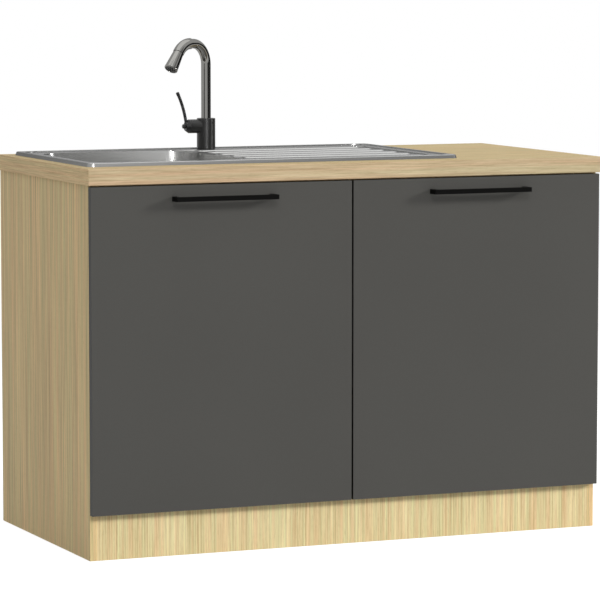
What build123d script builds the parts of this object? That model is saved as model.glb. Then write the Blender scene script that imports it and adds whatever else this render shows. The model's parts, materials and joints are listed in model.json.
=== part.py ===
from build123d import *
from math import atan2, cos, degrees, radians, sin, tan
import os

os.makedirs("parts", exist_ok=True)

# Kitchen sink unit, millimetres. X runs to the right, Y to the wall, Z up from the floor.
# The origin is on the floor under the middle of the whole unit, handles included.

# Cabinet
unit_width = 1200.0
unit_height = 828.0
worktop_depth = 600.0
worktop_thickness = 35.0
panel = 16.0
side_overhang = 4.0
front_overhang = 14.5
plinth_height = 97.5
front_rail_depth = 50.0
rear_rail_height = 80.0
back_thickness = 3.0
back_inset = 18.0
groove_depth = 8.0
groove_clearance = 0.3
cutout_width = 380.0
cutout_height = 330.0
cutout_above_pipe = 54.0
cutout_radius = 20.0

# Doors, handles and hinges
door_thickness = 16.0
door_gap = 1.2
door_top_gap = 3.0
door_centre_gap = 4.0
bumper_size = 8.0
bumper_margin = 16.0
handle_length = 232.0
handle_section = 10.0
handle_projection = 30.0
handle_drop = 28.5
handle_arris = 0.6
handle_screw_radius = 2.0
handle_screw_bite = 10.0
hinge_from_end = 100.0
hinge_axis_inset = 4.3
hinge_axis_depth = 10.0
cup_inset = 21.5
cup_radius = 17.5
cup_depth = 12.0
cup_wall = 1.0
flange_thickness = 0.8
flange_height = 62.0
flange_width = 20.0
arm_width = 12.0
arm_height = 11.5
arm_back = 70.0
arm_sheet = 1.6
plate_thickness = 2.5
plate_setback = 37.0
plate_length = 50.0
plate_wing_length = 16.0
plate_wing_height = 52.0

# Blocks and angles that join the boards, and the clearances
block_length = 40.0
block_side = 15.0
block_bevel = 6.0
bracket_leg = 25.0
bracket_width = 20.0
bracket_sheet = 2.0
bore_clearance = 0.1
running_clearance = 0.05
sliding_clearance = 0.2
seat_clearance = 0.3

# Sink
sink_width = 860.0
sink_left_margin = 23.0
sink_front_margin = 62.0
sink_rear_margin = 38.0
sink_corner = 15.0
sheet = 1.0
rim_height = 8.0
rim_slope = 2.5
rim_land = 9.0
field_drop = 2.0
field_corner = 40.0
drainer_drop = 2.5
bowl_width = 360.0
bowl_depth = 160.0
bowl_corner = 55.0
bowl_floor_radius = 24.0
bowl_lip = 4.0
bowl_left_border = 31.0
bowl_front_border = 54.0
bowl_rear_border = 70.0
drainer_right_border = 42.0
rib_count = 6
rib_width = 34.0
rib_inset = 12.0
rib_taper = 45.0
cutout_margin = 10.0
waste_hole_radius = 45.0
waste_recess_radius = 57.0
waste_recess = 4.0
overflow_drop = 66.0
overflow_radius = 12.0
seal_width = 6.0
clip_width = 20.0
clip_sheet = 1.5
clip_reach = 7.0
clip_gap = 2.0

# Tap
tap_from_left = 447.0
tap_from_rear = 35.0
tap_hole_radius = 17.5
body_radius = 21.0
body_height = 68.0
gasket_thickness = 1.5
shank_radius = 16.0
shank_length = 55.0
inlet_radius = 5.0
inlet_circle = 9.0
inlet_start = 210.0
inlet_depth = 15.0
washer_thickness = 3.0
tap_nut_height = 9.0
seal_drop = 12.0
seal_height = 3.0
seal_depth = 2.0
stub_radius = 15.7
stub_length = 38.0
stub_height = 51.5
stub_wall = 2.0
cartridge_depth = 24.0
stem_radius = 4.0
stem_length = 5.0
pipe_radius = 11.0
pipe_wall = 1.5
pipe_bend = 48.0
pipe_lead = 10.0
arch_height = 238.8
spout_turn = 60.0
spout_foot = 36.0
head_radius = 12.8
head_bore = 5.5
head_bend = 51.0
head_turn = 53.0
nozzle_length = 45.0
nozzle_end_radius = 15.5
aerator_radius = 12.9
aerator_thickness = 5.0
cell_radius = 2.2
cell_wall = 0.8
hub_barrel = 4.5
hub_length = 12.3
hub_end_radius = 10.3
nub_radius = 5.0
nub_length = 6.5
pivot_inset = 2.4
pivot_rise = 6.0
pin_radius = 1.2
pin_half = 9.5
lever_radius = 3.5
lever_tip_radius = 3.9
lever_length = 74.5
lever_lean = 10.0
lever_curl = 226.0

# Waste and trap
dish_gap = 1.5
ledge_drop = 7.0
ledge_width = 4.0
slot_count = 16
slot_width = 3.0
basket_lift = 6.0
knob_radius = 8.0
gasket_height = 3.0
funnel_wall = 3.0
waste_bolt_radius = 3.0
pipe40 = 20.0
trap_wall = 2.5
trap_bottle_radius = 38.0
dish_depth = 30.0
throat_drop = 14.0
throat_length = 32.0
trap_drop = 34.0
trap_height = 120.0
trap_outlet_drop = 34.0
tube_clearance = 30.0
nut_height = 22.0
nut_wall = 7.0
neck_height = 14.0
cup_wall_thickness = 3.0
cup_skirt = 18.0
cup_floor = 9.0
overflow_pipe_radius = 10.0
overflow_wall = 2.0
overflow_bend = 28.0
overflow_flange = 4.0
rosette_height = 1.5
elbow_depth = 24.0
elbow_drop = 14.0
port_length = 20.0

# Places that follow from the sizes above
door_proud = door_gap + door_thickness - front_overhang
back_y = (worktop_depth + door_proud + handle_projection) / 2
front_y = back_y - worktop_depth
carcass_y = front_y + front_overhang
door_back_y = carcass_y - door_gap
door_front_y = door_back_y - door_thickness
worktop_z = unit_height - worktop_thickness
outer_x = unit_width / 2 - side_overhang
inner_x = outer_x - panel
groove_y = back_y - back_inset - back_thickness
door_width = outer_x - door_centre_gap / 2
door_top_z = worktop_z - door_top_gap
door_bottom_z = plinth_height
handle_z = door_top_z - handle_drop
handle_x = outer_x - door_width / 2
hinge_heights = (door_bottom_z + hinge_from_end, door_top_z - hinge_from_end)

sink_x0 = -unit_width / 2 + sink_left_margin
sink_x1 = sink_x0 + sink_width
sink_y0 = front_y + sink_front_margin
sink_y1 = back_y - sink_rear_margin
sink_depth = sink_y1 - sink_y0
sink_centre = ((sink_x0 + sink_x1) / 2, (sink_y0 + sink_y1) / 2)
deck_z = unit_height + rim_height - field_drop
drainer_z = deck_z - drainer_drop
bowl_x0 = sink_x0 + bowl_left_border
bowl_x1 = bowl_x0 + bowl_width
bowl_y1 = sink_y1 - bowl_rear_border
bowl_y0 = sink_y0 + bowl_front_border
bowl_length = bowl_y1 - bowl_y0
bowl_centre = ((bowl_x0 + bowl_x1) / 2, (bowl_y0 + bowl_y1) / 2)
bowl_floor_z = deck_z - bowl_depth
seat_z = bowl_floor_z - waste_recess
dish_bottom_z = seat_z - dish_depth
throat_z = dish_bottom_z - throat_drop
outlet_z = throat_z - throat_length
trap_top_z = outlet_z - trap_drop
trap_bottom_z = trap_top_z - trap_height
trap_outlet_z = trap_top_z - trap_outlet_drop
overflow_z = deck_z - overflow_drop
drainer_x1 = sink_x1 - drainer_right_border
tap_x = sink_x0 + tap_from_left
tap_y = sink_y1 - tap_from_rear
tap_z = deck_z + gasket_thickness
body_top_z = tap_z + body_height
stub_z = deck_z + stub_height


def span_box(x0, x1, y0, y1, z0, z1, mode=Mode.ADD):
    """Box between two corners."""
    with Locations(((x0 + x1) / 2, (y0 + y1) / 2, (z0 + z1) / 2)):
        Box(abs(x1 - x0), abs(y1 - y0), abs(z1 - z0), mode=mode)


def peg(radius, start, end, mode=Mode.ADD):
    """Straight round bar from one point to another."""
    axis = Vector(end) - Vector(start)
    with Locations(Plane(origin=start, z_dir=axis.normalized()).location):
        Cylinder(radius, axis.length, align=(Align.CENTER, Align.CENTER, Align.MIN), mode=mode)


def ring(inner, outer, x, y, z0, z1):
    """Upright ring as a piece of its own."""
    with BuildPart() as piece:
        peg(outer, (x, y, z0), (x, y, z1))
        peg(inner, (x, y, z0 - 1), (x, y, z1 + 1), mode=Mode.SUBTRACT)
    return piece


def turned(x, y, points):
    """Solid turned about an upright axis from an outline of (radius, height) points."""
    with BuildSketch(Plane(origin=(x, y, 0), x_dir=(1, 0, 0), z_dir=(0, -1, 0))) as profile:
        with BuildLine():
            Polyline(*points, close=True)
        make_face()
    revolve(profile.sketch, axis=Axis((x, y, 0), (0, 0, 1)))


# Carcass boards, held by blocks in their inner corners
def side_panel(side):
    with BuildPart() as board:
        span_box(side * inner_x, side * outer_x, carcass_y, back_y, 0, worktop_z)
        groove_x = side * (inner_x + groove_depth)
        groove_back_y = groove_y + back_thickness + groove_clearance
        span_box(side * inner_x, groove_x, groove_y, groove_back_y, 0, worktop_z, mode=Mode.SUBTRACT)
    return board


side_panel_left = side_panel(-1)
side_panel_right = side_panel(1)

rail_under_z = worktop_z - panel
rail_back_y = carcass_y + front_rail_depth
rear_rail_y = groove_y - panel
rear_rail_z = worktop_z - rear_rail_height
plinth_back_y = carcass_y + panel

with BuildPart() as bottom_panel:
    span_box(-inner_x, inner_x, carcass_y, groove_y, plinth_height, plinth_height + panel)

with BuildPart() as plinth_board:
    span_box(-inner_x, inner_x, carcass_y, plinth_back_y, 0, plinth_height)

with BuildPart() as front_rail:
    span_box(-inner_x, inner_x, carcass_y, rail_back_y, rail_under_z, worktop_z)

with BuildPart() as rear_rail:
    span_box(-inner_x, inner_x, rear_rail_y, groove_y, rear_rail_z, worktop_z)

# Each block's corner (y, z) on a side panel, and the way that it lies off the board it holds
below, behind, before = (0, 0, -1), (0, 1, 0), (0, -1, 0)
block_places = [
    ((carcass_y + worktop_depth / 4, plinth_height), below),
    ((groove_y - worktop_depth / 4, plinth_height), below),
    (((carcass_y + rail_back_y) / 2, rail_under_z), below),
    ((rear_rail_y, (rear_rail_z + worktop_z) / 2), before),
    ((plinth_back_y, plinth_height / 2), behind),
]
with BuildPart() as joint_blocks:
    for side in (-1, 1):
        for (y, z), away in block_places:
            across = Vector(-side, 0, 0)
            along = across.cross(Vector(away))
            with BuildSketch(Plane(origin=(side * inner_x, y, z), x_dir=across, z_dir=along)):
                with BuildLine():
                    Polyline(
                        (0, 0),
                        (block_side, 0),
                        (block_side, block_side - block_bevel),
                        (block_side - block_bevel, block_side),
                        (0, block_side),
                        close=True,
                    )
                make_face()
            extrude(amount=block_length / 2, both=True)

# Hardboard back in the side panels' grooves, with a hole for the pipes behind the bowl
cutout_centre = (bowl_centre[0], trap_outlet_z + cutout_above_pipe - cutout_height / 2)
with BuildPart() as back_panel:
    back_half = inner_x + groove_depth - groove_clearance
    with BuildSketch(Plane.XZ.offset(-groove_y)):
        with Locations((0, (plinth_height + worktop_z) / 2)):
            Rectangle(2 * back_half, worktop_z - plinth_height)
        with Locations(cutout_centre):
            RectangleRounded(cutout_width, cutout_height, cutout_radius, mode=Mode.SUBTRACT)
    extrude(amount=-back_thickness)

with BuildPart() as worktop:
    with BuildSketch(Plane.XY.offset(worktop_z)):
        with Locations((0, (front_y + back_y) / 2)):
            Rectangle(unit_width, worktop_depth)
        with Locations(sink_centre):
            opening_width = sink_width - 2 * cutout_margin
            opening_depth = sink_depth - 2 * cutout_margin
            RectangleRounded(opening_width, opening_depth, sink_corner, mode=Mode.SUBTRACT)
    extrude(amount=worktop_thickness)

# Steel angles that hold the worktop, clear of the sink
bracket_places = (
    (inner_x, carcass_y + worktop_depth / 4, 90),
    (inner_x, groove_y - worktop_depth / 4, 90),
    (sink_x1 + 3 * bracket_leg, groove_y - panel, 180),
    (inner_x - 3 * bracket_leg, groove_y - panel, 180),
)
with BuildPart() as worktop_brackets:
    for x, y, turn in bracket_places:
        with Locations(Location((x, y, worktop_z), (0, 0, turn))):
            low = (Align.CENTER, Align.MIN, Align.MAX)
            Box(bracket_width, bracket_leg, bracket_sheet, align=low)
            Box(bracket_width, bracket_sheet, bracket_leg, align=low)


# Doors: the outer edge is flush with the side panel, the hinge cups are sunk into the back
def door_point(side, inset, forward, z):
    """Point by its distance in from the unit's side and forward of the carcass."""
    return (side * (outer_x - inset), carcass_y - forward, z)


def door(side):
    with BuildPart() as leaf:
        span_box(
            side * (outer_x - door_width), side * outer_x, door_front_y, door_back_y, door_bottom_z, door_top_z
        )
        for z in hinge_heights:
            mouth = door_point(side, cup_inset, door_gap, z)
            floor = door_point(side, cup_inset, door_gap + cup_depth + bore_clearance, z)
            peg(cup_radius + bore_clearance, mouth, floor, mode=Mode.SUBTRACT)
        for x in handle_legs(side):
            front = (x, door_front_y, handle_z)
            back = (x, door_back_y, handle_z)
            peg(handle_screw_radius + 3 * bore_clearance, front, back, mode=Mode.SUBTRACT)
    return leaf


def handle_legs(side):
    """X of a handle's two legs."""
    half = (handle_length - handle_section) / 2
    return (side * handle_x - half, side * handle_x + half)


def handle(side):
    """Square bar bent back to the door at both ends, tapped for a screw in each leg."""
    x0 = side * handle_x - handle_length / 2
    x1 = side * handle_x + handle_length / 2
    half = handle_section / 2
    with BuildPart() as bar:
        span_box(x0, x1, door_front_y - handle_projection, door_front_y, handle_z - half, handle_z + half)
        bar_back_y = door_front_y - handle_projection + handle_section
        inner = (x0 + handle_section, x1 - handle_section)
        span_box(*inner, bar_back_y, door_front_y, handle_z - half, handle_z + half, mode=Mode.SUBTRACT)
        front_face = bar.faces().sort_by(Axis.Y)[0]
        chamfer(front_face.edges(), handle_arris)
        for x in handle_legs(side):
            depth_y = door_front_y - handle_screw_bite - 1
            mouth = (x, door_front_y, handle_z)
            peg(handle_screw_radius + running_clearance, mouth, (x, depth_y, handle_z), mode=Mode.SUBTRACT)
    return bar


def handle_screws(side):
    head_radius_mm = 2.1 * handle_screw_radius
    head_height = 1.2 * handle_screw_radius
    with BuildPart() as screws:
        for x in handle_legs(side):
            peg(handle_screw_radius, (x, door_back_y, handle_z), (x, door_front_y - handle_screw_bite, handle_z))
            peg(head_radius_mm, (x, door_back_y, handle_z), (x, door_back_y + head_height, handle_z))
    return screws


def door_bumpers(side):
    """Soft square pads near the door's free edge, facing the rail and the bottom panel."""
    inset = door_width - bumper_margin
    half = bumper_size / 2
    with BuildPart() as pads:
        for z in (door_top_z - bumper_margin, door_bottom_z + panel / 2):
            x, seat_y, _ = door_point(side, inset, door_gap, z)
            _, face_y, _ = door_point(side, inset, seat_clearance, z)
            span_box(x - half, x + half, face_y, seat_y, z - half, z + half)
    return pads


def hinge_cups(side):
    """Pressed cups in the door with their screw flanges on its back."""
    with BuildPart() as cups:
        for z in hinge_heights:
            seat = door_point(side, cup_inset, door_gap, z)
            top = door_point(side, cup_inset, door_gap - flange_thickness, z)
            floor = door_point(side, cup_inset, door_gap + cup_depth, z)
            inner_floor = door_point(side, cup_inset, door_gap + cup_depth - cup_wall, z)
            peg(cup_radius, top, floor)
            x, y, _ = seat
            near_x = x - side * flange_width / 2
            far_x = x + side * flange_width / 2
            span_box(near_x, far_x, top[1], y, z - flange_height / 2, z + flange_height / 2)
            peg(cup_radius - cup_wall, (x, top[1] + 1, z), inner_floor, mode=Mode.SUBTRACT)
    return cups


def arm_outline():
    """Side view of a hinge arm, as (distance in from the unit's side, distance forward)."""
    base = panel + plate_thickness
    top = base + arm_height
    nose = door_gap + cup_depth - 3.5 * cup_wall
    return [
        (base, -arm_back),
        (top, -arm_back + arm_height / 2),
        (top, -panel / 4),
        (top - 2 * arm_sheet, nose - arm_height / 2),
        (base + arm_height / 2, nose),
        (base, nose - 1),
        (base - 1, nose - arm_height / 2),
        (base + 2 * arm_sheet, -panel / 4),
        (base + 2 * arm_sheet, -panel / 2),
        (base, -panel / 2),
    ]


with BuildPart() as hinge_arms:
    for side in (-1, 1):
        for z in hinge_heights:
            corners = [door_point(side, u, v, z - arm_width / 2) for u, v in arm_outline()]
            with BuildSketch(Plane.XY.offset(z - arm_width / 2)):
                with BuildLine():
                    Polyline(*[(x, y) for x, y, _ in corners], close=True)
                make_face()
            extrude(amount=arm_width)
            hollow_in = side * (outer_x - panel)
            hollow_out = side * (outer_x - panel - plate_thickness - arm_height + arm_sheet)
            hollow_half = arm_width / 2 - arm_sheet
            span_box(
                hollow_in, hollow_out, carcass_y + panel / 2, carcass_y + arm_back + 1,
                z - hollow_half, z + hollow_half, mode=Mode.SUBTRACT,
            )

with BuildPart() as hinge_plates:
    for side in (-1, 1):
        for z in hinge_heights:
            plate_y = carcass_y + plate_setback
            plate_in = side * inner_x
            plate_out = side * (inner_x - plate_thickness)
            for length, height in ((plate_length, arm_width), (plate_wing_length, plate_wing_height)):
                span_box(
                    plate_in, plate_out, plate_y - length / 2, plate_y + length / 2, z - height / 2, z + height / 2
                )

handle_left, handle_right = handle(-1), handle(1)
door_left, door_right = door(-1), door(1)
handle_screws_left, handle_screws_right = handle_screws(-1), handle_screws(1)
door_bumpers_left, door_bumpers_right = door_bumpers(-1), door_bumpers(1)
hinge_cups_left, hinge_cups_right = hinge_cups(-1), hinge_cups(1)

# Pressed sink: raised rim, sunk field, ribbed drainer and deep bowl in one sheet
rim_taper = degrees(atan2(rim_slope, rim_height))
rim_top_z = unit_height + rim_height
under_z = deck_z - sheet
drainer_x0 = bowl_x1 - bowl_corner
drainer_y0 = bowl_y0 - sheet
drainer_y1 = bowl_y1 + sheet
drainer_centre = ((drainer_x0 + drainer_x1) / 2, (drainer_y0 + drainer_y1) / 2)
drainer_size = (drainer_x1 - drainer_x0, drainer_y1 - drainer_y0)
rib_x0 = bowl_x1 + rib_inset
rib_x1 = drainer_x1 - rib_inset
rib_centre = ((rib_x0 + rib_x1) / 2, (bowl_y0 + bowl_y1) / 2)
rib_length = rib_x1 - rib_x0
field_size = (sink_width - 2 * (rim_slope + rim_land), sink_depth - 2 * (rim_slope + rim_land))
# The outermost ribs run partly into the field beside the drainer
rib_edge_share = 0.6
rib_pitch = drainer_size[1] / (rib_count - rib_edge_share)


def bowl_block(grow, top_z, floor_radius):
    """The bowl's rounded box, grown all round, with a rounded floor."""
    with BuildPart() as block:
        with BuildSketch(Plane.XY.offset(bowl_floor_z - grow)):
            with Locations(bowl_centre):
                RectangleRounded(bowl_width + 2 * grow, bowl_length + 2 * grow, bowl_corner + grow)
        extrude(amount=top_z - bowl_floor_z + grow)
        fillet(block.faces().sort_by(Axis.Z)[0].edges(), floor_radius)
    return block


bowl_shell = bowl_block(sheet, under_z, bowl_floor_radius)
bowl_hollow = bowl_block(0, rim_top_z + 1, bowl_floor_radius - sheet)

with BuildPart() as sink:
    with BuildSketch(Plane.XY.offset(unit_height)):
        with Locations(sink_centre):
            RectangleRounded(sink_width, sink_depth, sink_corner)
    extrude(amount=rim_height, taper=rim_taper)
    chamfer(sink.faces().sort_by(Axis.Z)[-1].edges(), sheet)
    with BuildSketch(Plane.XY.offset(unit_height)):
        with Locations(sink_centre):
            RectangleRounded(sink_width - 2 * sheet, sink_depth - 2 * sheet, sink_corner - sheet)
    extrude(amount=under_z - unit_height, taper=rim_taper, mode=Mode.SUBTRACT)
    with BuildSketch(Plane.XY.offset(drainer_z - sheet)):
        with Locations(drainer_centre):
            RectangleRounded(drainer_size[0] + 2 * sheet, drainer_size[1] + 2 * sheet, field_corner / 2)
    extrude(amount=drainer_drop)
    # Bowl walls, with a thicker ring under the rolled lip
    add(bowl_shell.part)
    with BuildSketch(Plane.XY.offset(drainer_z - bowl_lip - sheet)):
        with Locations(bowl_centre):
            lip_growth = 2 * (bowl_lip + sheet)
            RectangleRounded(bowl_width + lip_growth, bowl_length + lip_growth, bowl_corner + bowl_lip)
    extrude(amount=bowl_lip + sheet)
    # Sunk field and drainer, then the ribs that stand up to the field again
    with BuildSketch(Plane.XY.offset(deck_z)):
        with Locations(sink_centre):
            RectangleRounded(*field_size, field_corner)
    extrude(amount=field_drop + 1, mode=Mode.SUBTRACT)
    with BuildSketch(Plane.XY.offset(drainer_z)):
        with Locations(drainer_centre):
            RectangleRounded(*drainer_size, field_corner / 2)
    extrude(amount=drainer_drop, mode=Mode.SUBTRACT)
    with BuildSketch(Plane.XY.offset(drainer_z)):
        with Locations(rib_centre):
            with GridLocations(0, rib_pitch, 1, rib_count):
                RectangleRounded(rib_length, rib_width, rib_width / 2 - sheet)
    extrude(amount=drainer_drop, taper=rib_taper)
    add(bowl_hollow.part, mode=Mode.SUBTRACT)
    # Dished seat of the waste, overflow and tap hole
    peg(waste_recess_radius + sheet, (*bowl_centre, seat_z - sheet), (*bowl_centre, bowl_floor_z - sheet))
    peg(waste_recess_radius, (*bowl_centre, seat_z), (*bowl_centre, bowl_floor_z + 1), mode=Mode.SUBTRACT)
    waste_hole_top = (*bowl_centre, bowl_floor_z + 1)
    peg(waste_hole_radius, (*bowl_centre, seat_z - 2 * sheet), waste_hole_top, mode=Mode.SUBTRACT)
    overflow_in = (bowl_x0 + 2 * sheet, bowl_centre[1], overflow_z)
    overflow_out = (bowl_x0 - 2 * sheet, bowl_centre[1], overflow_z)
    peg(overflow_radius, overflow_in, overflow_out, mode=Mode.SUBTRACT)
    peg(tap_hole_radius, (tap_x, tap_y, unit_height), (tap_x, tap_y, rim_top_z), mode=Mode.SUBTRACT)

# Seal between the sink's skirt and the worktop, and the clips that pull the sink down
with BuildPart() as sink_seal:
    with BuildSketch(Plane.XY.offset(unit_height)):
        with Locations(sink_centre):
            seal_inset = 2 * (rim_slope + sheet)
            seal_size = (sink_width - seal_inset, sink_depth - seal_inset)
            RectangleRounded(*seal_size, sink_corner - seal_inset / 2)
            inner_size = (seal_size[0] - 2 * seal_width, seal_size[1] - 2 * seal_width)
            RectangleRounded(*inner_size, sink_corner - seal_inset / 2 - seal_width, mode=Mode.SUBTRACT)
    extrude(amount=under_z - unit_height)

half_opening = (sink_width / 2 - cutout_margin, sink_depth / 2 - cutout_margin)
clip_places = [(-half_opening[0], 0, 270), (half_opening[0], 0, 90)]
for side in (-1, 1):
    clip_places.append((side * sink_width / 3, -half_opening[1], 0))
    clip_places.append((side * sink_width / 3, half_opening[1], 180))
with BuildPart() as sink_clamps:
    for x, y, turn in clip_places:
        place = Location((sink_centre[0] + x, sink_centre[1] + y, worktop_z), (0, 0, turn))
        with Locations(place):
            leg_height = under_z - worktop_z + clip_sheet
            with Locations((0, clip_gap, -clip_sheet)):
                Box(clip_width, clip_sheet, leg_height, align=(Align.CENTER, Align.MIN, Align.MIN))
            with Locations((0, -clip_reach, -clip_sheet)):
                claw = clip_reach + clip_gap + clip_sheet
                Box(clip_width, claw, clip_sheet, align=(Align.CENTER, Align.MIN, Align.MIN))

# Waste: steel dish through the bowl, lift-out strainer basket, gasket and plastic funnel
dish_rim = waste_recess_radius - dish_gap
dish_radius = waste_hole_radius - dish_gap
ledge_z = seat_z - ledge_drop
lower_radius = dish_radius - ledge_width
with BuildPart() as waste_flange:
    turned(*bowl_centre, [
        (0, dish_bottom_z),
        (lower_radius, dish_bottom_z),
        (lower_radius, ledge_z - sheet),
        (dish_radius, ledge_z - sheet),
        (dish_radius, seat_z),
        (dish_rim, seat_z),
        (dish_rim, seat_z + sheet),
        (dish_radius - sheet, seat_z + sheet),
        (dish_radius - sheet, ledge_z),
        (lower_radius - sheet, ledge_z),
        (lower_radius - sheet, dish_bottom_z + sheet),
        (0, dish_bottom_z + sheet),
    ])
    with BuildSketch(Plane.XY.offset(dish_bottom_z)):
        with Locations(bowl_centre):
            with PolarLocations(0.6 * dish_radius, 6):
                Rectangle(0.5 * dish_radius, 0.25 * dish_radius)
            Circle(waste_bolt_radius + bore_clearance)
    extrude(amount=2 * sheet, mode=Mode.SUBTRACT)

basket_radius = dish_radius - sheet - seat_clearance
basket_wall_radius = lower_radius - 2 * sheet
basket_rim_z = ledge_z + seat_clearance
basket_bottom_z = dish_bottom_z + basket_lift
with BuildPart() as strainer_basket:
    turned(*bowl_centre, [
        (0, basket_bottom_z),
        (basket_wall_radius, basket_bottom_z),
        (basket_wall_radius, basket_rim_z),
        (basket_radius, basket_rim_z),
        (basket_radius, basket_rim_z + sheet),
        (basket_wall_radius - sheet, basket_rim_z + sheet),
        (basket_wall_radius - sheet, basket_bottom_z + sheet),
        (knob_radius / 2, basket_bottom_z + sheet),
        (knob_radius / 2, seat_z),
        (knob_radius, seat_z),
        (knob_radius, seat_z + knob_radius),
        (0, seat_z + knob_radius),
    ])
    with BuildSketch(Plane.XY.offset(basket_bottom_z)):
        with Locations(bowl_centre):
            with PolarLocations(0.5 * dish_radius, slot_count):
                Rectangle(0.4 * dish_radius, slot_width)
    extrude(amount=2 * sheet, mode=Mode.SUBTRACT)

gasket_z = seat_z - sheet
funnel_top_z = gasket_z - gasket_height
waste_gasket = ring(dish_radius + seat_clearance, waste_recess_radius, *bowl_centre, funnel_top_z, gasket_z)

throat_bore = pipe40 - trap_wall
funnel_radius = dish_radius + seat_clearance
funnel_outer = funnel_radius + funnel_wall
port_z = dish_bottom_z + funnel_wall
cross_z = throat_z + funnel_wall
with BuildPart() as waste_body:
    turned(*bowl_centre, [
        (throat_bore, outlet_z),
        (pipe40, outlet_z),
        (pipe40, throat_z),
        (funnel_outer, throat_z),
        (funnel_outer, funnel_top_z - funnel_wall),
        (waste_recess_radius, funnel_top_z - funnel_wall),
        (waste_recess_radius, funnel_top_z),
        (funnel_radius, funnel_top_z),
        (funnel_radius, throat_z + funnel_wall),
        (throat_bore, throat_z + funnel_wall),
    ])
    # Bridge over the throat, with the boss that takes the central bolt
    peg(2 * waste_bolt_radius, (*bowl_centre, throat_z), (*bowl_centre, dish_bottom_z))
    span_box(
        bowl_centre[0] - throat_bore - trap_wall, bowl_centre[0] + throat_bore + trap_wall,
        bowl_centre[1] - funnel_wall / 2, bowl_centre[1] + funnel_wall / 2, throat_z, cross_z,
    )
    bolt_seat = (*bowl_centre, dish_bottom_z + sheet)
    bolt_end = (*bowl_centre, throat_z)
    peg(waste_bolt_radius + running_clearance, (*bowl_centre, throat_z - sheet), bolt_seat, mode=Mode.SUBTRACT)
    # Spigot for the overflow pipe
    port_out = (bowl_centre[0] - funnel_radius - port_length, bowl_centre[1], port_z)
    port_in = (bowl_centre[0] - funnel_radius - sheet, bowl_centre[1], port_z)
    peg(overflow_pipe_radius, port_out, port_in)
    bore_in = (bowl_centre[0] - funnel_radius + funnel_wall, bowl_centre[1], port_z)
    peg(overflow_pipe_radius - overflow_wall, port_out, bore_in, mode=Mode.SUBTRACT)

with BuildPart() as waste_bolt:
    bolt_head_z = dish_bottom_z + sheet
    peg(waste_bolt_radius, bolt_end, (*bowl_centre, bolt_head_z))
    peg(2 * waste_bolt_radius, (*bowl_centre, bolt_head_z), (*bowl_centre, bolt_head_z + waste_bolt_radius))

# Overflow: rosette in the bowl's left wall, elbow behind it, pipe down to the waste
wall_x = bowl_x0 - sheet
flange_radius = overflow_radius + overflow_flange
rosette_depth = 2 * overflow_wall
with BuildPart() as overflow_rosette:
    rosette_seat = (bowl_x0, bowl_centre[1], overflow_z)
    peg(flange_radius, rosette_seat, (bowl_x0 + rosette_height, bowl_centre[1], overflow_z))
    rosette_tail = (wall_x - rosette_depth, bowl_centre[1], overflow_z)
    peg(overflow_radius - seat_clearance, rosette_tail, rosette_seat)
    with BuildSketch(Plane.YZ.offset(rosette_tail[0])):
        with Locations((bowl_centre[1], overflow_z)):
            with GridLocations(0, 0.6 * overflow_radius, 1, 3):
                Rectangle(1.2 * overflow_radius, 0.25 * overflow_radius)
    extrude(amount=2 * rosette_depth, mode=Mode.SUBTRACT)

elbow_x = wall_x - elbow_depth / 2
elbow_foot_z = overflow_z - overflow_radius - elbow_drop
with BuildPart() as overflow_elbow:
    peg(flange_radius, (wall_x - elbow_depth, bowl_centre[1], overflow_z), (wall_x, bowl_centre[1], overflow_z))
    elbow_foot = (elbow_x, bowl_centre[1], elbow_foot_z)
    elbow_centre = (elbow_x, bowl_centre[1], overflow_z)
    peg(overflow_pipe_radius, elbow_foot, elbow_centre)
    hollow_far = (wall_x - elbow_depth + overflow_wall, bowl_centre[1], overflow_z)
    peg(overflow_radius, hollow_far, (wall_x, bowl_centre[1], overflow_z), mode=Mode.SUBTRACT)
    peg(overflow_pipe_radius - overflow_wall, elbow_foot, elbow_centre, mode=Mode.SUBTRACT)

pipe_end_x = port_out[0]
pipe_low_z = port_out[2]
pipe_plane = Plane(origin=(0, bowl_centre[1], 0), x_dir=(1, 0, 0), z_dir=(0, -1, 0))
with BuildPart() as overflow_pipe:
    with BuildLine(pipe_plane) as overflow_path:
        corners = [(elbow_x, elbow_foot_z), (elbow_x, pipe_low_z), (pipe_end_x, pipe_low_z)]
        FilletPolyline(*corners, radius=overflow_bend)
    with BuildSketch(Plane(origin=(elbow_x, bowl_centre[1], elbow_foot_z), z_dir=(0, 0, -1))):
        Circle(overflow_pipe_radius)
    sweep(path=overflow_path.wires()[0])

# Bottle trap: nut on the waste, dip tube, bottle, screw cup, outlet nut and pipe to the back
nut_radius = pipe40 + nut_wall
bottle_front_y = bowl_centre[1] + trap_bottle_radius


def slip_nut(start, end):
    """Ribbed plastic nut round a 40 mm pipe."""
    axis = Vector(end) - Vector(start)
    with BuildPart() as nut:
        with BuildSketch(Plane(origin=start, z_dir=axis.normalized())):
            RegularPolygon(nut_radius, 10)
            Circle(pipe40 + seat_clearance, mode=Mode.SUBTRACT)
        extrude(amount=axis.length)
    return nut


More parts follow.
